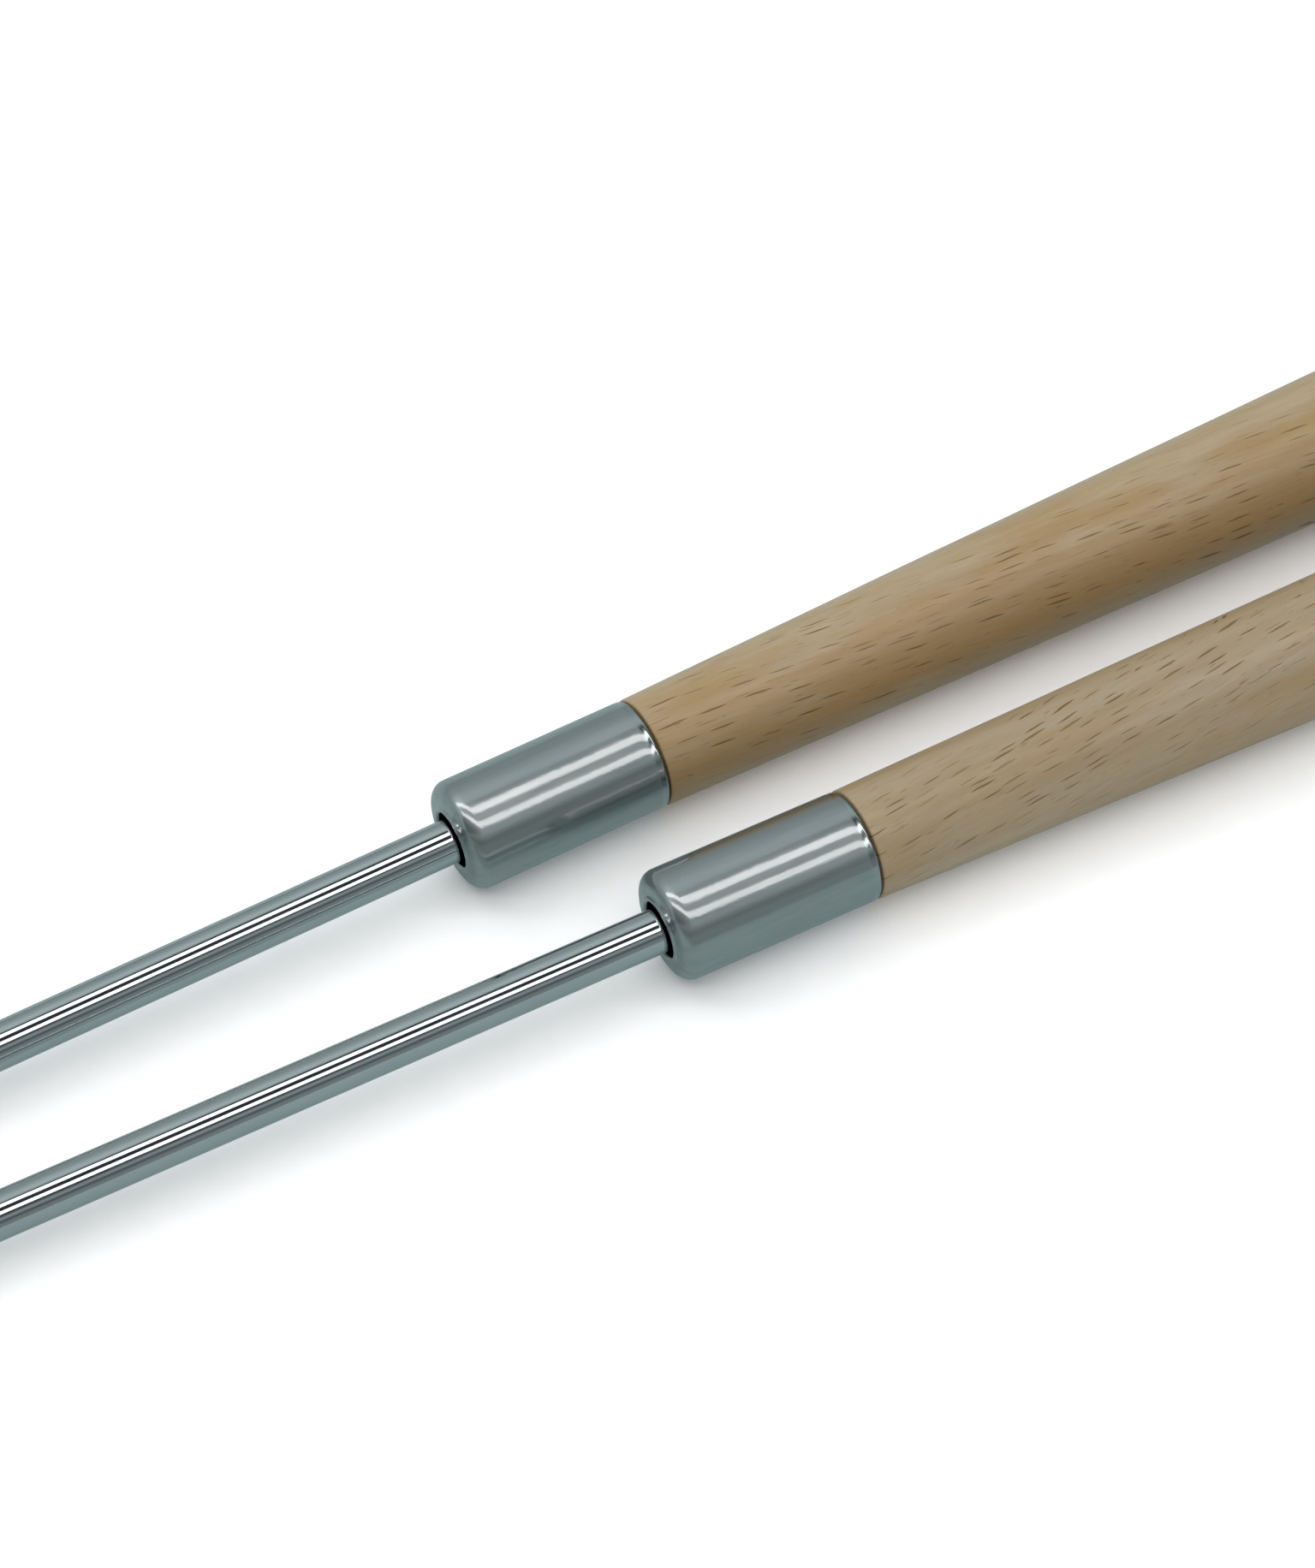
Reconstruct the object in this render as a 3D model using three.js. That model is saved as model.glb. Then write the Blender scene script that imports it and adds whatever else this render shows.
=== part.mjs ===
// A pair of straight knitting needles lying side by side on a flat surface.
// Each needle is a round steel shaft set in a turned beech handle, whose front end is held by a
// drawn steel ferrule. Millimetres, +Z up. +X runs from the points to the butts, midway between
// the two needles, and both needles rest on the plane z = 0.
import * as THREE from 'three';

// Shaft: a plain round rod. Its diameter is the knitting size.
const SHAFT_RADIUS = 2.0;
const EXPOSED_LENGTH = 206; // point to ferrule nose
const TANG_LENGTH = 64; // stretch hidden in the ferrule and the handle
const POINT_LENGTH = 15; // stretch that narrows towards the point
const POINT_RADIUS = 0.6; // the blunt round end
const POINT_FULLNESS = 0.55; // where along the point its outline bends, from 0 at the end to 1
const TANG_CHAMFER = 0.5;

// Ferrule: a cup drawn from sheet, with a hole in its nose for the shaft.
const FERRULE_LENGTH = 19;
const FERRULE_RADIUS = 5.1;
const FERRULE_WALL = 0.8;
const NOSE_ROUNDING = 1.4;
const HOLE_RADIUS = 2.5;
const LIP_ROUNDING = 0.3;
const RIM_ROUNDING = 0.2;
const INNER_ROUNDING = 0.5;

// Handle: swells from the ferrule to a belly near its round butt, which ends in a small flat.
const HANDLE_LENGTH = 125; // ferrule rim to butt
const BELLY_RADIUS = 6.95;
const BELLY_STATION = 104; // distance behind the ferrule rim
const SWELL_SLOPE = 0.0221; // how fast the radius grows where the swell starts
const SWELL_LEAD = 45; // length of the swell's straight start
const BELLY_LEAD = 10; // length of the level stretch either side of the belly
const BUTT_FULLNESS = 6.3; // radius that the round butt aims at before it turns to the flat
const BUTT_FLAT_RADIUS = 3.2;

// Fits between the pieces of one needle.
const GAP = 0.3;
const TENON_LENGTH = 15;
const TENON_CHAMFER = 0.4;
const SHOULDER_ROUNDING = 0.15;
const BORE_POINT = 1.3; // the cone that the drill leaves

// How the pair lies.
const PAIR_SPACING = 17.9; // across, between the centres of the two ferrule rims
const PAIR_LEAD = 11.2; // needle b lies this much further towards the butts
const PAIR_SPREAD = THREE.MathUtils.degToRad(2.1); // the needles draw together towards the points

// Roundness of the turned surfaces.
const TURNS = 48;
const ARC_STEPS = 2; // each quarter round takes twice as many steps
const POINT_STEPS = 6;
const SWELL_STEPS = 10;
const BUTT_STEPS = 7;

const QUARTER = Math.PI / 2;

const steel = { color: 0xaab3b3, roughness: 0.12, metalness: 1.0 };
const satinSteel = { color: 0xa3b0b0, roughness: 0.32, metalness: 1.0 };
const beech = { color: 0xc9ab84, roughness: 0.6, metalness: 0.0 };

// Outlines are (radius, station) pairs. They run so that the material lies on their left.

function shaftOutline() {
  const length = EXPOSED_LENGTH + TANG_LENGTH;
  const bend = POINT_LENGTH * POINT_FULLNESS;
  const outline = new THREE.Path();
  outline.moveTo(0, 0);
  outline.absarc(0, POINT_RADIUS, POINT_RADIUS, -QUARTER, 0, false);
  const taper = new THREE.QuadraticBezierCurve(
    new THREE.Vector2(POINT_RADIUS, POINT_RADIUS),
    new THREE.Vector2(SHAFT_RADIUS, bend),
    new THREE.Vector2(SHAFT_RADIUS, POINT_LENGTH),
  );
  return [
    ...outline.getPoints(ARC_STEPS),
    ...taper.getPoints(POINT_STEPS).slice(1),
    new THREE.Vector2(SHAFT_RADIUS, length - TANG_CHAMFER),
    new THREE.Vector2(SHAFT_RADIUS - TANG_CHAMFER, length),
    new THREE.Vector2(0, length),
  ];
}

function ferruleOutline() {
  const bore = FERRULE_RADIUS - FERRULE_WALL;
  const edge = FERRULE_RADIUS - RIM_ROUNDING;
  const outline = new THREE.Path();
  outline.moveTo(HOLE_RADIUS, LIP_ROUNDING);
  outline.absarc(HOLE_RADIUS + LIP_ROUNDING, LIP_ROUNDING, LIP_ROUNDING, Math.PI, 3 * QUARTER, false);
  outline.absarc(FERRULE_RADIUS - NOSE_ROUNDING, NOSE_ROUNDING, NOSE_ROUNDING, -QUARTER, 0, false);
  outline.absarc(edge, FERRULE_LENGTH - RIM_ROUNDING, RIM_ROUNDING, 0, QUARTER, false);
  outline.lineTo(bore, FERRULE_LENGTH);
  outline.absarc(bore - INNER_ROUNDING, FERRULE_WALL + INNER_ROUNDING, INNER_ROUNDING, 0, -QUARTER, true);
  outline.lineTo(HOLE_RADIUS, FERRULE_WALL);
  outline.closePath();
  return outline.getPoints(ARC_STEPS);
}

function handleOutline() {
  const boreRadius = SHAFT_RADIUS + GAP;
  const boreEnd = TANG_LENGTH - FERRULE_LENGTH + GAP;
  const tenonRadius = FERRULE_RADIUS - FERRULE_WALL - GAP;
  const swell = new THREE.CubicBezierCurve(
    new THREE.Vector2(FERRULE_RADIUS, GAP + SHOULDER_ROUNDING),
    new THREE.Vector2(FERRULE_RADIUS + SWELL_LEAD * SWELL_SLOPE, SWELL_LEAD),
    new THREE.Vector2(BELLY_RADIUS, BELLY_STATION - BELLY_LEAD),
    new THREE.Vector2(BELLY_RADIUS, BELLY_STATION),
  );
  const butt = new THREE.CubicBezierCurve(
    new THREE.Vector2(BELLY_RADIUS, BELLY_STATION),
    new THREE.Vector2(BELLY_RADIUS, BELLY_STATION + BELLY_LEAD),
    new THREE.Vector2(BUTT_FULLNESS, HANDLE_LENGTH),
    new THREE.Vector2(BUTT_FLAT_RADIUS, HANDLE_LENGTH),
  );
  return [
    new THREE.Vector2(0, boreEnd + BORE_POINT),
    new THREE.Vector2(boreRadius, boreEnd),
    new THREE.Vector2(boreRadius, -TENON_LENGTH),
    new THREE.Vector2(tenonRadius - TENON_CHAMFER, -TENON_LENGTH),
    new THREE.Vector2(tenonRadius, TENON_CHAMFER - TENON_LENGTH),
    new THREE.Vector2(tenonRadius, GAP),
    new THREE.Vector2(FERRULE_RADIUS - SHOULDER_ROUNDING, GAP),
    ...swell.getPoints(SWELL_STEPS),
    ...butt.getPoints(BUTT_STEPS).slice(1),
    new THREE.Vector2(0, HANDLE_LENGTH),
  ];
}

// One turned piece, its axis along +Y, starting at the given station of the needle.
function turnedPiece(name, outline, station, finish) {
  const geometry = new THREE.LatheGeometry(outline, TURNS);
  const piece = new THREE.Mesh(geometry, new THREE.MeshStandardMaterial(finish));
  piece.name = name;
  piece.position.y = station;
  return piece;
}

// A lying needle touches the surface with the shaft, where its point starts to narrow, and with
// whatever stands out most behind that: the ferrule's nose or the handle's belly.
function restAngle() {
  const behindPoint = [
    ...ferruleOutline().map((p) => new THREE.Vector2(p.x, p.y + EXPOSED_LENGTH)),
    ...handleOutline().map((p) => new THREE.Vector2(p.x, p.y + EXPOSED_LENGTH + FERRULE_LENGTH)),
  ];
  const slopes = behindPoint.map((p) => (p.x - SHAFT_RADIUS) / (p.y - POINT_LENGTH));
  return Math.atan(Math.max(...slopes));
}

// A needle in a group whose origin is the centre of its ferrule rim. It points along -X, turned by
// heading about the vertical, with its handle end raised to the angle at which it lies.
function needle(label, heading) {
  const rimStation = EXPOSED_LENGTH + FERRULE_LENGTH;
  const pieces = new THREE.Group();
  pieces.add(turnedPiece(`${label}_shaft`, shaftOutline(), 0, steel));
  pieces.add(turnedPiece(`${label}_ferrule`, ferruleOutline(), EXPOSED_LENGTH, satinSteel));
  pieces.add(turnedPiece(`${label}_handle`, handleOutline(), rimStation, beech));
  pieces.position.x = -rimStation;
  pieces.rotation.z = -QUARTER;
  const raised = new THREE.Group();
  raised.add(pieces);
  raised.rotation.y = -restAngle();
  const turned = new THREE.Group();
  turned.add(raised);
  turned.rotation.z = heading;
  return turned;
}

function pairOfNeedles() {
  const needleA = needle('needle_a', PAIR_SPREAD / 2);
  const needleB = needle('needle_b', -PAIR_SPREAD / 2);
  needleB.position.set(PAIR_LEAD, -PAIR_SPACING, 0);
  const pair = new THREE.Group();
  pair.add(needleA, needleB);
  const box = new THREE.Box3().setFromObject(pair, true);
  const centre = box.getCenter(new THREE.Vector3());
  pair.position.set(-centre.x, -centre.y, -box.min.z);
  return pair;
}

export default pairOfNeedles();
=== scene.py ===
"""Looks for the pair of straight knitting needles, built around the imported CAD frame.

Every piece is turned about its needle's own axis. A needle's local frame has its origin where the
ferrule's rim meets the handle, X towards the butt and Z as near to straight up as it can be.
Lengths are in metres unless a name or a comment says mm.
"""
import math

import bmesh
import bpy
import numpy as np
from mathutils import Matrix, Vector, noise


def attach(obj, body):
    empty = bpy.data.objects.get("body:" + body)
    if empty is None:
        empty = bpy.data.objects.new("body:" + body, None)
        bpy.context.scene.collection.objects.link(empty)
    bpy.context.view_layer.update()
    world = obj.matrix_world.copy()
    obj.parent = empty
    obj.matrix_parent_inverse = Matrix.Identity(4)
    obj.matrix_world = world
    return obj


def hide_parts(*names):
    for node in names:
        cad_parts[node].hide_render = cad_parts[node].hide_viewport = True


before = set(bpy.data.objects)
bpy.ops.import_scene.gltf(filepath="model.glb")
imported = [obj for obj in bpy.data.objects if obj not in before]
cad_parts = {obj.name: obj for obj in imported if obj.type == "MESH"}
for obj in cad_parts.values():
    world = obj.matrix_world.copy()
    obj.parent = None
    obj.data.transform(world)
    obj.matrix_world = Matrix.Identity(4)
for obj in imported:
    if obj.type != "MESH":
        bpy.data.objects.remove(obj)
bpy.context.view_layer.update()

MM = 0.001
NEEDLES = ("needle_a", "needle_b")

# Shaft
SHAFT_TURNS = 96
SHAFT_STEP = 4 * MM  # between rings on the straight stretch
POINT_STEPS = 5  # between two rings of the CAD shaft's point

# Ferrule: a cup drawn from sheet
FERRULE_TURNS = 144
WALL = 0.8 * MM
NOSE_ROUNDING = 1.4 * MM
BEAD_RADIUS = 0.28 * MM  # the rolled edge round the hole
BEAD_HEIGHT = 0.2 * MM  # how far the bead stands out of the nose
BEAD_START = 290  # degrees: its outline starts inside the hole
BEAD_TURN = 0.85  # share of the way down to the nose that it turns before it blends in
HOLE_WEAR = 0.08 * MM  # the bead's rounding opens the hole by this much
HOLE_FLARE = 0.9 * MM  # the hole widens inwards by this much
RIM_ROUNDING = 0.3 * MM
RIM_BEAD = 0.7 * MM  # length of the polished band at the rear rim
RIM_DIP = 0.012 * MM  # the band draws in by this much before its edge
INNER_ROUNDING = 0.5 * MM
WALL_STEP = 0.7 * MM
WALL_WAVE = 0.006 * MM  # unevenness left by drawing

# Handle
HANDLE_TURNS = 144
SEAM = 0.17 * MM  # between the ferrule's rim and the wood
SHOULDER_ROUNDING = 0.22 * MM
TENON_CHAMFER = 0.4 * MM
BORE_CLEARANCE = 0.3 * MM
BORE_POINT = 1.3 * MM
HANDLE_WAVE = 0.02 * MM
OUTLINE_STEPS = 6  # between two rings of the CAD handle

TOUCHING = 0.005 * MM  # points closer together than this count as one


# ---------------------------------------------------------------- the frame, measured

def node_points(node):
    """The distinct points of a CAD node, in the row frame."""
    points = np.array([v.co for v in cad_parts[node].data.vertices], float)
    return np.unique(points.round(8), axis=0)


def needle_axes(label):
    """The needle's local frame as a matrix: its axis is the long axis of the shaft's points."""
    shaft = node_points(f"{label}_shaft")
    centre = shaft.mean(0)
    axis = Vector(np.linalg.svd(shaft - centre, full_matrices=False)[2][0])
    axis *= math.copysign(1, axis.x)
    rim = max((node_points(f"{label}_ferrule") - centre) @ np.array(axis))
    origin = Vector(centre) + axis * rim
    up = (Vector((0, 0, 1)) - axis * axis.z).normalized()
    side = up.cross(axis)
    turn = Matrix((axis, side, up)).transposed()
    return Matrix.Translation(origin) @ turn.to_4x4()


def rings(node, axes):
    """The (station, radius) pairs of a turned CAD node, sorted by station. Pairs that differ only
    by rounding are merged."""
    local = node_points(node) @ np.array(axes.inverted().to_3x3()).T
    local += np.array(axes.inverted().translation)
    radius = np.hypot(local[:, 1], local[:, 2])
    pairs = np.unique(np.stack([local[:, 0], radius], axis=1).round(6), axis=0)
    apart = np.linalg.norm(np.diff(pairs, axis=0), axis=1) > TOUCHING
    return pairs[np.concatenate([[True], apart])]


# ---------------------------------------------------------------- turned meshes

def smooth_line(points, steps):
    """A smooth curve through the points, with so many steps between two of them."""
    points = np.array(points, float)
    length = np.concatenate([[0], np.linalg.norm(np.diff(points, axis=0), axis=1).cumsum()])
    slope = np.gradient(points, length, axis=0, edge_order=2)
    line = []
    for i in range(len(points) - 1):
        span = length[i + 1] - length[i]
        for t in np.arange(steps) / steps:
            line.append(
                points[i] * (1 - t) ** 2 * (1 + 2 * t)
                + points[i + 1] * t ** 2 * (3 - 2 * t)
                + slope[i] * span * t * (1 - t) ** 2
                - slope[i + 1] * span * t ** 2 * (1 - t)
            )
    line.append(points[-1])
    return [tuple(p) for p in line]


def arc(centre, radius, start, end, steps=8):
    """Points on an arc of an outline. Angles are in degrees from +station towards +radius."""
    angles = np.radians(np.linspace(start, end, steps + 1))
    return [(centre[0] + radius * math.cos(a), centre[1] + radius * math.sin(a)) for a in angles]


def straight(start, end, step):
    """Points between start and end, both left out."""
    count = max(1, round(math.dist(start, end) / step))
    return [
        (start[0] + (end[0] - start[0]) * i / count, start[1] + (end[1] - start[1]) * i / count)
        for i in range(1, count)
    ]


def turned_mesh(name, outline, turns, closed=False, wave=0.0, wave_length=6 * MM):
    """An outline of (station, radius) points turned about the X axis. Points on the axis become
    one vertex. A closed outline makes a ring-shaped solid. wave adds a little unevenness."""
    mesh = bmesh.new()
    loops = []
    for station, radius in outline:
        if radius < TOUCHING:
            loops.append([mesh.verts.new((station, 0, 0))] * turns)
            continue
        loop = []
        for i in range(turns):
            angle = 2 * math.pi * i / turns
            y, z = radius * math.sin(angle), radius * math.cos(angle)
            lift = 1 + wave * noise.noise(Vector((station, y, z)) / wave_length) / radius
            loop.append(mesh.verts.new((station, y * lift, z * lift)))
        loops.append(loop)
    pairs = list(zip(loops, loops[1:] + loops[:1]))
    for near, far in pairs if closed else pairs[:-1]:
        for i in range(turns):
            j = (i + 1) % turns
            corners = dict.fromkeys((near[i], near[j], far[j], far[i]))
            mesh.faces.new(corners).smooth = True
    bmesh.ops.recalc_face_normals(mesh, faces=mesh.faces)
    data = bpy.data.meshes.new(name)
    mesh.to_mesh(data)
    mesh.free()
    return data


def place(name, data, axes, material, body, node):
    """Puts a piece on its needle, where it stands for the CAD node."""
    piece = bpy.data.objects.new(name, data)
    bpy.context.scene.collection.objects.link(piece)
    piece.matrix_world = axes
    data.materials.append(material)
    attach(piece, body)
    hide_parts(node)


# ---------------------------------------------------------------- pieces

def shaft_outline(label, axes):
    """The CAD shaft's outline, with its point made smooth. The last three rings are the tang's
    chamfer and the middle of its flat end."""
    found = rings(f"{label}_shaft", axes)
    full = found[:, 1].max()
    first_full = int(np.argmax(found[:, 1] > full - TOUCHING))
    point = smooth_line(found[: first_full + 1], POINT_STEPS)
    tang_end = sorted((tuple(p) for p in found[-3:]), key=lambda p: -p[1])
    return point + straight(point[-1], tang_end[0], SHAFT_STEP) + tang_end


def ferrule_outline(label, axes):
    """Round the cup: out of the hole, over the nose, along the wall to the rim and back inside."""
    found = rings(f"{label}_ferrule", axes)
    nose, rim = found[:, 0].min(), found[:, 0].max()
    radius, hole = found[:, 1].max(), found[:, 1].min() + HOLE_WEAR
    bore = radius - WALL
    bead_centre = (nose - BEAD_HEIGHT + BEAD_RADIUS, hole + BEAD_RADIUS)
    nose_centre = (nose + NOSE_ROUNDING, radius - NOSE_ROUNDING)
    edge = radius - RIM_DIP
    rim_centre = (rim - RIM_ROUNDING, edge - RIM_ROUNDING)
    inner_centre = (nose + WALL + INNER_ROUNDING, bore - INNER_ROUNDING)
    bead_foot = 180 - math.degrees(math.acos((BEAD_RADIUS - BEAD_HEIGHT) / BEAD_RADIUS)) * BEAD_TURN
    outline = arc(bead_centre, BEAD_RADIUS, BEAD_START, bead_foot, 12)
    outline.append((nose, outline[-1][1] + BEAD_HEIGHT * 0.5))
    outline += arc(nose_centre, NOSE_ROUNDING, 180, 90, 14)
    wall_end = (rim - RIM_BEAD, radius)
    outline += straight(outline[-1], wall_end, WALL_STEP)
    outline.append(wall_end)
    # The band draws in mostly over its first fifth.
    band = [wall_end, (rim - RIM_BEAD * 0.8, radius - RIM_DIP * 0.75), (rim - RIM_ROUNDING, edge)]
    outline += smooth_line(band, 4)[1:]
    outline += arc(rim_centre, RIM_ROUNDING, 90, 0)[1:]
    outline.append((rim, bore))
    outline += straight((rim, bore), (inner_centre[0], bore), 3 * MM)
    outline += arc(inner_centre, INNER_ROUNDING, 90, 180, 4)
    outline.append((nose + WALL, hole + HOLE_FLARE))
    return outline


def handle_outline(label, axes):
    """From the bottom of the bore, out over the tenon and along the swell to the butt. Outside
    the bore, the CAD handle's first four rings are the tenon's chamfer, its foot and the
    shoulder's foot."""
    shaft = rings(f"{label}_shaft", axes)
    bore = shaft[:, 1].max() + BORE_CLEARANCE
    bore_end = shaft[:, 0].max() + BORE_CLEARANCE
    outside = [tuple(p) for p in rings(f"{label}_handle", axes) if p[1] > bore + TOUCHING]
    tenon_tip, tenon_side, _, _, *body = outside
    tenon_end, tenon_radius = tenon_tip[0], tenon_side[1]
    rim_radius = body[0][1]
    butt = body[-1][0]
    shoulder_centre = (SEAM + SHOULDER_ROUNDING, rim_radius - SHOULDER_ROUNDING)
    shoulder = arc(shoulder_centre, SHOULDER_ROUNDING, 180, 100, 6)
    swell = smooth_line([shoulder[-1]] + body[1:], OUTLINE_STEPS)
    return [
        (bore_end + BORE_POINT, 0),
        (bore_end, bore),
        *straight((bore_end, bore), (tenon_end, bore), 10 * MM),
        (tenon_end, bore),
        (tenon_end, tenon_radius - TENON_CHAMFER),
        (tenon_end + TENON_CHAMFER, tenon_radius),
        (SEAM, tenon_radius),
        *shoulder[:-1],
        *swell,
        (butt, 0),
    ]


# ---------------------------------------------------------------- material graphs

class Graph:
    """The node tree of a material or a world, built by calls that return output sockets."""

    def __init__(self, owner):
        self.owner = owner
        owner.use_nodes = True
        self.tree = owner.node_tree
        self.tree.nodes.clear()

    def feed(self, socket, value):
        if isinstance(value, bpy.types.NodeSocket):
            self.tree.links.new(value, socket)
        else:
            socket.default_value = value

    def add(self, kind, inputs=(), **settings):
        node = self.tree.nodes.new(kind)
        for key, value in settings.items():
            setattr(node, key, value)
        for key, value in dict(inputs).items():
            self.feed(node.inputs[key], value)
        return node

    def calc(self, operation, *values):
        node = self.add("ShaderNodeMath", operation=operation)
        for socket, value in zip(node.inputs, values):
            self.feed(socket, value)
        return node.outputs[0]

    def hypotenuse(self, a, b):
        """The length across from sides a and b, never quite 0."""
        squares = self.calc("ADD", self.calc("POWER", a, 2.0), self.calc("POWER", b, 2.0))
        return self.calc("MAXIMUM", self.calc("SQRT", squares), 0.01)

    def vector(self, operation, *values):
        node = self.add("ShaderNodeVectorMath", operation=operation)
        for socket, value in zip(node.inputs, values):
            self.feed(socket, value)
        return node.outputs["Value" if operation == "LENGTH" else "Vector"]

    def remap(self, value, low, high, to_low=0.0, to_high=1.0):
        """value, from low to high, eased into to_low to to_high and held there beyond."""
        inputs = {"Value": value, "From Min": low, "From Max": high, "To Min": to_low, "To Max": to_high}
        return self.add("ShaderNodeMapRange", inputs, interpolation_type="SMOOTHSTEP").outputs[0]

    def mix(self, factor, a, b, mode="MIX"):
        node = self.add("ShaderNodeMix", data_type="RGBA", blend_type=mode)
        self.feed(node.inputs[0], factor)
        self.feed(node.inputs[6], a)
        self.feed(node.inputs[7], b)
        return node.outputs[2]

    def place(self, vector, location=(0, 0, 0), rotation=(0, 0, 0), scale=(1, 1, 1)):
        inputs = {"Vector": vector, "Location": location, "Rotation": rotation, "Scale": scale}
        return self.add("ShaderNodeMapping", inputs).outputs[0]

    def noise(self, vector, scale, detail=2.0, roughness=0.5):
        inputs = {"Vector": vector, "Scale": scale, "Detail": detail, "Roughness": roughness}
        return self.add("ShaderNodeTexNoise", inputs).outputs["Fac"]

    def split(self, vector):
        return self.add("ShaderNodeSeparateXYZ", {"Vector": vector}).outputs[:]

    def drift(self, vector, scale, reach):
        """A slowly changing offset of up to half the reach along each axis."""
        inputs = {"Vector": vector, "Scale": scale, "Detail": 2.0}
        colour = self.add("ShaderNodeTexNoise", inputs).outputs["Color"]
        return self.vector("MULTIPLY", self.vector("SUBTRACT", colour, (0.5, 0.5, 0.5)), reach)

    def millimetres(self):
        """The needle's local coordinates in mm: x along the axis, from the ferrule's rim."""
        position = self.add("ShaderNodeTexCoord").outputs["Object"]
        return self.place(position, scale=(1000, 1000, 1000))

    def finish(self, surface):
        output = self.add("ShaderNodeOutputMaterial")
        self.feed(output.inputs["Surface"], surface.outputs[0])
        return self.owner


def flecks(g, grain, facing_bark, cell, half_size, shift, crisp=0.7):
    """Spindle-shaped rays of the wood, one in each cell. Returns how deep inside a fleck a point
    is, from 0 to 1, and a random number for each fleck. Sizes are in mm along the grain,
    across it and towards the bark. A fleck is as wide where the surface turns away from the
    bark as where it faces it."""
    scaled = g.place(grain, location=shift, scale=tuple(1 / c for c in cell))
    cells = g.add("ShaderNodeTexVoronoi", {"Vector": scaled, "Scale": 1.0, "Randomness": 0.85})
    offset = g.vector("SUBTRACT", scaled, cells.outputs["Position"])
    stretch = tuple(c / h for c, h in zip(cell, half_size))
    away = g.split(g.vector("MULTIPLY", offset, stretch))
    chance = g.add("ShaderNodeSeparateColor", {"Color": cells.outputs["Color"]}).outputs
    size = g.remap(chance[1], 0.0, 1.0, 0.6, 1.15)
    width = g.calc("DIVIDE", g.calc("ABSOLUTE", away[1]), g.calc("MAXIMUM", facing_bark, 0.1))
    spindle = g.calc("ADD", g.calc("POWER", g.calc("ABSOLUTE", away[0]), 2.0), width)
    spindle = g.calc("ADD", spindle, g.calc("POWER", g.calc("ABSOLUTE", away[2]), 2.0))
    depth = g.remap(g.calc("DIVIDE", spindle, size), 1.0, crisp)
    return depth, chance[0]


HANDLE_HALF_WIDTH = 6.0  # mm, roughly: it sets how fast the painted shade towards the front changes round the handle


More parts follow.
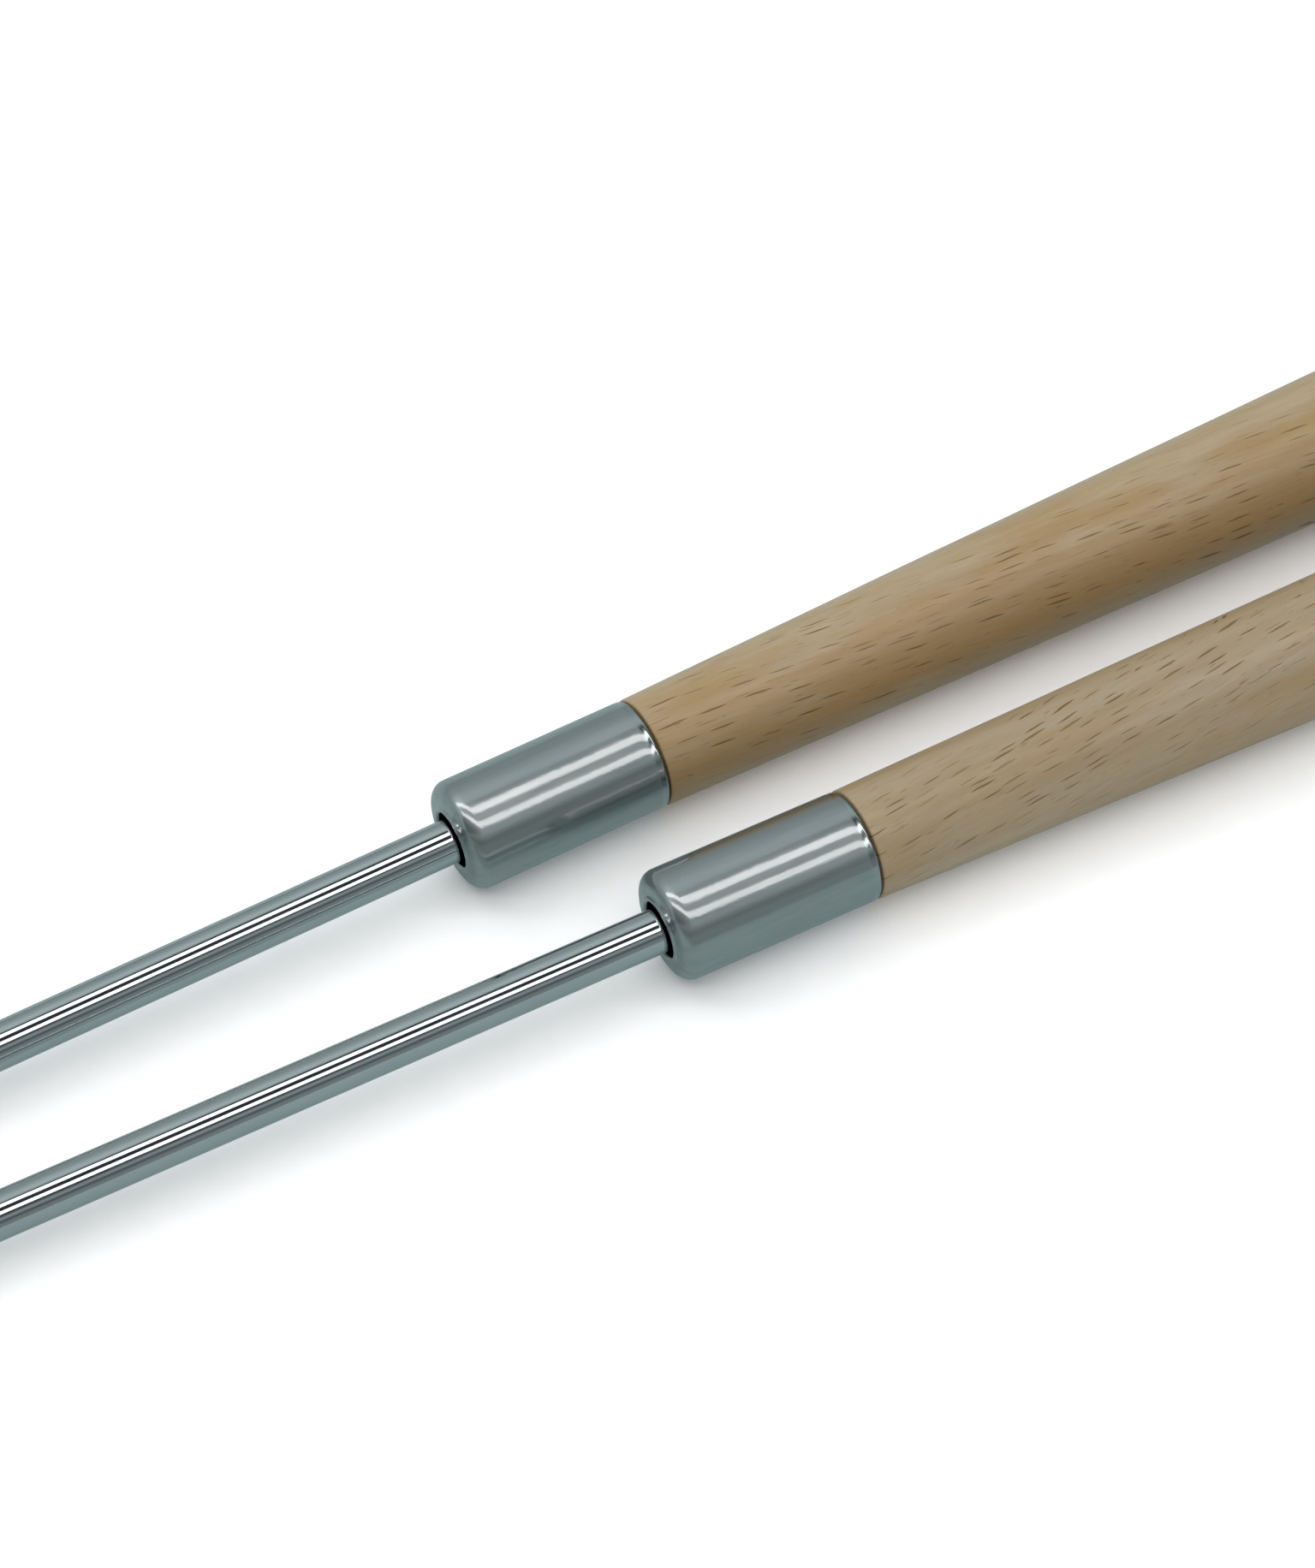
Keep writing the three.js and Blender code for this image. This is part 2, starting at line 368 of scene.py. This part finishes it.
def beech(name, look):
    """Turned and sanded beech: fibres, growth rings, fine pores and short brown rays."""
    g = Graph(bpy.data.materials.new(name))
    local = g.millimetres()
    turn = (math.radians(look["bark_turn"]), 0, math.radians(look["grain_slope"]))
    straight_grain = g.place(local, location=look["shift"], rotation=turn)
    bend = g.drift(straight_grain, 0.1, (0, 0.8, 0.8))
    wobble = g.drift(straight_grain, 1.1, (0, 0.09, 0.07))
    grain = g.vector("ADD", g.vector("ADD", straight_grain, bend), wobble)
    _, along_rings, to_bark = g.split(g.place(local, rotation=turn))
    # 1 where the surface faces the bark, falling to 0 where it is turned away from it
    facing_bark = g.calc("DIVIDE", g.calc("ABSOLUTE", to_bark), g.hypotenuse(along_rings, to_bark))
    front = g.calc("MULTIPLY", g.split(local)[1], -1 / HANDLE_HALF_WIDTH)

    fibre = g.noise(g.place(grain, scale=(0.05, 1.5, 1.5)), 2.2, 5.0, 0.6)
    streak = g.noise(g.place(grain, scale=(0.03, 0.5, 0.5)), 1.6, 3.0, 0.55)
    depth_in_tree = g.split(grain)[2]
    wander = g.noise(g.place(grain, scale=(0.02, 0.12, 0.12)), 1.0, 2.0)
    ring = g.calc("DIVIDE", depth_in_tree, look["ring_width"])
    ring = g.calc("ADD", ring, g.calc("MULTIPLY", wander, 3.0))
    late_wood = g.remap(g.calc("FRACT", ring), 0.35, 0.95)
    blotch = g.noise(g.place(grain, scale=(0.05, 0.22, 0.22)), 1.0, 3.0, 0.6)
    # The blotches are the wood's own tone. The share added towards the front (-Y) side is painted shade,
    # darker and more orange.
    warm = g.calc("ADD", blotch, g.calc("MULTIPLY", front, look["painted_shade_front"]))
    warm = g.remap(warm, look["warm"][0], look["warm"][1])
    gold = g.noise(g.place(grain, location=(31, 7, 3), scale=(0.09, 0.4, 0.4)), 1.0, 2.0)
    gold = g.remap(gold, 0.52, 0.7)

    colour = g.mix(g.remap(streak, 0.3, 0.7), look["pale"], look["mid"])
    colour = g.mix(g.calc("MULTIPLY", late_wood, 0.12), colour, look["deep"])
    colour = g.mix(g.calc("MULTIPLY", warm, look["warm_strength"]), colour, look["orange"])
    colour = g.mix(g.calc("MULTIPLY", gold, look["gold_strength"]), colour, look["gold"])
    colour = g.mix(g.remap(fibre, 0.25, 0.75, 0.0, 0.22), colour, look["deep"])

    cut = (g, grain, facing_bark)
    pore, pore_chance = flecks(*cut, (1.1, 0.3, 0.5), (0.42, 0.035, 0.2), (4.1, 7.7, 2.3))
    small, small_chance = flecks(*cut, (1.9, 0.6, 3.0), (0.55, 0.08, 2.2), (1.7, 3.1, 8.9), 0.5)
    large, large_chance = flecks(*cut, look["ray_cell"], look["ray_size"], (6.3, 0.9, 5.2), 0.72)
    small = g.calc("MULTIPLY", small, g.remap(small_chance, 0.4, 1.0, 0.0, 0.45))
    large = g.calc("MULTIPLY", large, g.remap(large_chance, 0.2, 0.75, 0.12, 1.0))
    rays = g.calc("MULTIPLY", g.calc("MAXIMUM", small, large), g.remap(facing_bark, 0.2, 0.75, 0.15, 1.0))
    pores = g.calc("MULTIPLY", pore, g.remap(pore_chance, 0.3, 1.0, 0.0, 0.2))
    colour = g.mix(pores, colour, look["deep"])
    colour = g.mix(g.calc("MULTIPLY", rays, look["ray_strength"]), colour, look["ray"])

    height = g.calc("MULTIPLY", fibre, 0.35)
    height = g.calc("SUBTRACT", height, g.calc("MULTIPLY", rays, 0.9))
    height = g.calc("SUBTRACT", height, pores)
    bump = g.add("ShaderNodeBump", {"Height": height, "Strength": 0.5, "Distance": 0.02 * MM})
    roughness = g.calc("ADD", g.remap(fibre, 0.2, 0.8, 0.42, 0.56), g.calc("MULTIPLY", rays, 0.15))
    surface = g.add(
        "ShaderNodeBsdfPrincipled",
        {
            "Base Color": colour,
            "Roughness": roughness,
            "Normal": bump.outputs[0],
            "IOR": 1.48,
            "Coat Weight": 0.35,
            "Coat Roughness": 0.25,
            "Coat IOR": 1.6,
        },
    )
    return g.finish(surface)


FERRULE_FRONT = 19.0  # mm from the ferrule's rim to its nose
PAINTED_SHADE = (0.012, 0.012, 0.012, 1)  # painted shade: near black, on the shaft at the hole and inside the ferrule
PAINTED_SHADE_START = FERRULE_FRONT + 0.38  # mm: on the shaft the painted shade comes in from here
PAINTED_SHADE_FULL = FERRULE_FRONT + 0.28


def polished_steel():
    """A drawn and polished rod: very fine lines along it, faint smudges, and painted shade, near black, from
    just ahead of the ferrule's nose to the tang's end."""
    g = Graph(bpy.data.materials.new("polished_steel"))
    local = g.millimetres()
    lines = g.noise(g.place(local, scale=(0.02, 3.0, 3.0)), 2.0, 4.0, 0.6)
    smudge = g.noise(g.place(local, scale=(0.15, 0.5, 0.5)), 1.0, 3.0, 0.6)
    height = g.noise(g.place(local, scale=(0.02, 0.7, 0.7)), 1.0, 1.0)
    bump = g.add("ShaderNodeBump", {"Height": height, "Strength": 0.6, "Distance": 0.004 * MM})
    roughness = g.calc("ADD", g.remap(lines, 0.3, 0.7, 0.03, 0.07), g.remap(smudge, 0.45, 0.8, 0.0, 0.06))
    colour = g.mix(g.remap(smudge, 0.3, 0.8), (0.56, 0.585, 0.59, 1), (0.52, 0.55, 0.555, 1))
    # Painted shade: near black from 0.38 mm ahead of the ferrule's nose onwards, where the gap round the
    # shaft lies in shade.
    colour = g.mix(g.remap(g.split(local)[0], -PAINTED_SHADE_START, -PAINTED_SHADE_FULL), colour, PAINTED_SHADE)
    surface = g.add(
        "ShaderNodeBsdfPrincipled",
        {"Base Color": colour, "Metallic": 1.0, "Roughness": roughness, "Normal": bump.outputs[0]},
    )
    return g.finish(surface)


def satin_steel(name, wave, shift):
    """Drawn sheet with a satin finish: lines along the cup, a slightly uneven skin, and a
    brighter polish on the turned band at the rim."""
    g = Graph(bpy.data.materials.new(name))
    local = g.place(g.millimetres(), location=shift)
    along, across, up = g.split(g.millimetres())
    rim_band = g.remap(along, -0.95, -0.6)
    from_axis = g.hypotenuse(across, up)
    # Painted shade: near black inside, on the hole's wall from just behind its lip, and in the cup from
    # behind its nose.
    behind_lip = g.remap(along, -FERRULE_FRONT + 0.05, -FERRULE_FRONT + 0.2)
    behind_nose = g.remap(along, -FERRULE_FRONT + 0.5, -FERRULE_FRONT + 0.7)
    in_hole = g.calc("MULTIPLY", behind_lip, g.remap(from_axis, 3.6, 3.4))
    in_cup = g.calc("MULTIPLY", behind_nose, g.remap(from_axis, 4.7, 4.5))
    inside = g.calc("MAXIMUM", in_hole, in_cup)
    lines = g.noise(g.place(local, scale=(0.05, 2.6, 2.6)), 2.5, 6.0, 0.65)
    broad = g.noise(g.place(local, scale=(0.08, 0.6, 0.6)), 1.2, 3.0, 0.6)
    skin = g.noise(local, 1.3, 3.0, 0.6)
    roughness = g.calc("ADD", g.remap(lines, 0.25, 0.75, 0.36, 0.46), g.remap(broad, 0.35, 0.75, 0.0, 0.06))
    polished = g.calc("MULTIPLY", rim_band, 0.2)
    roughness = g.calc("ADD", g.calc("MULTIPLY", roughness, g.calc("SUBTRACT", 1.0, rim_band)), polished)
    height = g.calc("ADD", g.calc("MULTIPLY", lines, 0.5), g.calc("MULTIPLY", skin, wave))
    height = g.calc("MULTIPLY", height, g.calc("SUBTRACT", 1.0, g.calc("MULTIPLY", rim_band, 0.85)))
    bump = g.add("ShaderNodeBump", {"Height": height, "Strength": 0.7, "Distance": 0.01 * MM})
    colour = g.mix(g.remap(broad, 0.3, 0.8), (0.32, 0.355, 0.355, 1), (0.26, 0.295, 0.295, 1))
    colour = g.mix(inside, colour, PAINTED_SHADE)
    surface = g.add(
        "ShaderNodeBsdfPrincipled",
        {
            "Base Color": colour,
            "Metallic": 1.0,
            "Roughness": roughness,
            "Normal": bump.outputs[0],
            "Coat Weight": g.calc("SUBTRACT", 1.0, inside),
            "Coat Roughness": 0.07,
            "Coat IOR": 2.4,
            "Coat Normal": bump.outputs[0],
        },
    )
    return g.finish(surface)


BEECH_A = {
    "pale": (0.355, 0.272, 0.167, 1),
    "mid": (0.325, 0.236, 0.128, 1),
    "deep": (0.2, 0.12, 0.052, 1),
    "orange": (0.3, 0.184, 0.07, 1),
    "gold": (0.33, 0.232, 0.095, 1),
    "ray": (0.115, 0.058, 0.006, 1),
    # how strongly the handle is painted darker and more orange towards its front, as shade
    "painted_shade_front": 0.26,
    "warm": (0.44, 0.66),
    "warm_strength": 0.85,
    "gold_strength": 0.35,
    "ring_width": 3.4,
    "ray_cell": (3.9, 0.74, 5.0),
    "ray_size": (1.6, 0.09, 4.0),
    "ray_strength": 0.92,
    "bark_turn": -30,
    "grain_slope": 4,
    "shift": (11, 5, 40),
}
BEECH_B = BEECH_A | {
    "pale": (0.31, 0.245, 0.157, 1),
    "mid": (0.285, 0.215, 0.127, 1),
    "orange": (0.275, 0.175, 0.07, 1),
    # how strongly the handle is painted darker and more orange towards its front, as shade
    "painted_shade_front": 0.14,
    "warm": (0.5, 0.74),
    "warm_strength": 0.55,
    "gold_strength": 0.25,
    "ray_cell": (3.6, 0.72, 5.0),
    "ray_size": (1.5, 0.1, 4.0),
    "bark_turn": -42,
    "grain_slope": -7,
    "shift": (73, 21, 12),
}


# ---------------------------------------------------------------- the needles

steel = polished_steel()
ferrule_steel = {
    "needle_a": satin_steel("satin_steel_a", 1.3, (3, 1, 2)),
    "needle_b": satin_steel("satin_steel_b", 1.0, (17, 5, 9)),
}
wood = {"needle_a": beech("beech_a", BEECH_A), "needle_b": beech("beech_b", BEECH_B)}
axes_of = {label: needle_axes(label) for label in NEEDLES}

for label in NEEDLES:
    axes = axes_of[label]
    shaft = turned_mesh(f"{label}_rod", shaft_outline(label, axes), SHAFT_TURNS)
    place(f"{label}_rod", shaft, axes, steel, label, f"{label}_shaft")
    outline = ferrule_outline(label, axes)
    cup = turned_mesh(f"{label}_cup", outline, FERRULE_TURNS, closed=True, wave=WALL_WAVE)
    place(f"{label}_cup", cup, axes, ferrule_steel[label], label, f"{label}_ferrule")
    outline = handle_outline(label, axes)
    grip = turned_mesh(f"{label}_grip", outline, HANDLE_TURNS, wave=HANDLE_WAVE, wave_length=14 * MM)
    place(f"{label}_grip", grip, axes, wood[label], label, f"{label}_handle")


# ---------------------------------------------------------------- floor, light and camera

FLOOR_SIZE = 6.0
CAMERA_AZIMUTH = -28.7  # degrees
CAMERA_ELEVATION = 51.4
CAMERA_DISTANCE = 345.8 * MM
CAMERA_AIM = Vector((1.6, 0.1, 0)) * MM  # from the point on the floor below needle a's ferrule rim
CAMERA_LENS = 88.4  # mm, on a sensor 36 mm tall


def plane(name, height):
    """A level square of the floor's size, as part of the stage."""
    half = FLOOR_SIZE / 2
    corners = [(-half, -half), (half, -half), (half, half), (-half, half)]
    data = bpy.data.meshes.new(name)
    data.from_pydata([(x, y, height) for x, y in corners], [], [(0, 1, 2, 3)])
    thing = bpy.data.objects.new(name, data)
    bpy.context.scene.collection.objects.link(thing)
    return thing


def matt(name, colour, near_glow=0.0, far_glow=0.0):
    """A plain matt surface. Its glow, if any, grows from near the needles to a few metres away."""
    g = Graph(bpy.data.materials.new(name))
    position = g.add("ShaderNodeTexCoord").outputs["Object"]
    speckle = g.noise(position, 400.0, 2.0)
    shade = g.mix(g.remap(speckle, 0.3, 0.7, 0.0, 0.04), colour, (0.5, 0.5, 0.5, 1))
    glow = g.remap(g.vector("LENGTH", position), 0.4, 2.4, near_glow, far_glow)
    surface = {
        "Base Color": shade,
        "Roughness": 0.9,
        "Emission Color": (1, 1, 1, 1),
        "Emission Strength": glow,
    }
    return g.finish(g.add("ShaderNodeBsdfPrincipled", surface))


floor = plane("floor", 0.0)
floor.data.materials.append(matt("floor_white", (0.93, 0.93, 0.93, 1), 0.06, 0.95))
floor.visible_glossy = False
floor.visible_transmission = False
floor.visible_shadow = False
# What the metal reflects is a teal-grey table top, which the camera itself doesn't see.
table = plane("table", -0.02 * MM)
table.data.materials.append(matt("table_grey", (0.5, 0.61, 0.61, 1)))
table.visible_camera = False
table.visible_diffuse = False
table.visible_shadow = False


SOFT_BOX_SIZE = 1.2
SOFT_BOX_DISTANCE = 1.2
LIGHT_HEIGHT = 3.0
TUBE_HEADING = -31  # degrees: the tubes run across the camera's view
TUBE_LENGTH = 9.0
TUBE_REACH = 1.6  # how far a tube's middle lies beyond the part that the needles' sides mirror
MIRROR_SLOPE = 0.315  # that part lies this far along X for each metre up and across to it


def area_light(name, location, size, radiance):
    """A rectangular light of the given size and radiance, facing down until it is turned."""
    data = bpy.data.lights.new(name, "AREA")
    data.shape = "RECTANGLE"
    data.size, data.size_y = size
    data.energy = radiance * math.pi * size[0] * size[1]
    light = bpy.data.objects.new(name, data)
    bpy.context.scene.collection.objects.link(light)
    light.location = location
    light.visible_camera = False
    return light


def tube_light(name, lean, width, radiance):
    """A long ceiling light. The needles' sides mirror the part of it that leans from straight up
    towards -Y by lean degrees, where it looks width degrees wide."""
    heading = math.radians(TUBE_HEADING)
    along = Vector((math.cos(heading), math.sin(heading), 0))
    angle, half = math.radians(lean), math.radians(width / 2)
    mirrored = Vector((MIRROR_SLOPE / math.cos(angle), -math.tan(angle), 1)) * LIGHT_HEIGHT
    breadth = LIGHT_HEIGHT * (math.tan(angle + half) - math.tan(angle - half)) * math.cos(heading)
    light = area_light(name, mirrored - along * TUBE_REACH, (TUBE_LENGTH, breadth), radiance)
    light.rotation_euler = (0, 0, heading)


def soft_box(name, lean, radiance):
    """A large square light for what is matt. It is not itself mirrored."""
    angle = math.radians(lean)
    location = Vector((0, -math.sin(angle), math.cos(angle))) * SOFT_BOX_DISTANCE
    light = area_light(name, location, (SOFT_BOX_SIZE, SOFT_BOX_SIZE), radiance)
    light.rotation_euler = (angle, 0, 0)
    light.visible_glossy = False


tube_light("tube_rear", 2, 15, 2.6)
tube_light("tube_front", 33.5, 11.5, 2.5)
soft_box("soft_rear", -42, 1.6)
soft_box("soft_top", 12, 0.9)
soft_box("soft_front", 66, 0.65)


ROOM_TINT = (0.86, 1.0, 1.02)  # slightly teal


def room():
    """The dim room round the needles, shaded by how far a direction leans from straight up
    towards -Y. The camera sees plain white instead."""
    world = bpy.data.worlds.new("room")
    bpy.context.scene.world = world
    g = Graph(world)
    direction = g.split(g.add("ShaderNodeTexCoord").outputs["Generated"])
    lean = g.calc("ARCTAN2", g.calc("MULTIPLY", direction[1], -1.0), direction[2])
    turn = g.calc("ADD", g.calc("DIVIDE", lean, 2 * math.pi), 0.5)
    ramp = g.add("ShaderNodeValToRGB", {"Fac": turn})
    stops = [  # degrees of lean, brightness
        (-180, 0.25), (-90, 0.33), (-60, 0.46), (-35, 0.68), (-24, 0.6), (-17, 0.07), (12, 0.04), (36, 0.06),
        (41, 0.12), (51, 0.42), (57, 0.3), (64, 0.12), (75, 0.28), (90, 0.3), (180, 0.25),
    ]
    band = ramp.color_ramp
    for _ in range(len(stops) - 2):
        band.elements.new(0.5)
    for element, (angle, level) in zip(band.elements, stops):
        element.position = angle / 360 + 0.5
        element.color = (*(level * share for share in ROOM_TINT), 1)
    dim = g.add("ShaderNodeBackground", {"Color": ramp.outputs[0], "Strength": 1.0})
    white = g.add("ShaderNodeBackground", {"Color": (0.95, 0.95, 0.95, 1), "Strength": 1.0})
    choose = g.add("ShaderNodeMixShader")
    g.feed(choose.inputs[0], g.add("ShaderNodeLightPath").outputs["Is Camera Ray"])
    g.feed(choose.inputs[1], dim.outputs[0])
    g.feed(choose.inputs[2], white.outputs[0])
    g.feed(g.add("ShaderNodeOutputWorld").inputs["Surface"], choose.outputs[0])


room()

camera = bpy.data.objects.new("camera", bpy.data.cameras.new("camera"))
bpy.context.scene.collection.objects.link(camera)
bpy.context.scene.camera = camera
camera.data.lens = CAMERA_LENS
camera.data.clip_start = 0.01
rim_centre = axes_of["needle_a"].translation
aim = Vector((rim_centre.x, rim_centre.y, 0)) + CAMERA_AIM
azimuth, elevation = math.radians(CAMERA_AZIMUTH), math.radians(CAMERA_ELEVATION)
back = Vector((
    math.sin(azimuth) * math.cos(elevation),
    -math.cos(azimuth) * math.cos(elevation),
    math.sin(elevation),
))
camera.location = aim + back * CAMERA_DISTANCE
camera.rotation_mode = "QUATERNION"
camera.rotation_quaternion = (-back).to_track_quat("-Z", "Y")
bpy.context.scene.view_settings.view_transform = "Standard"
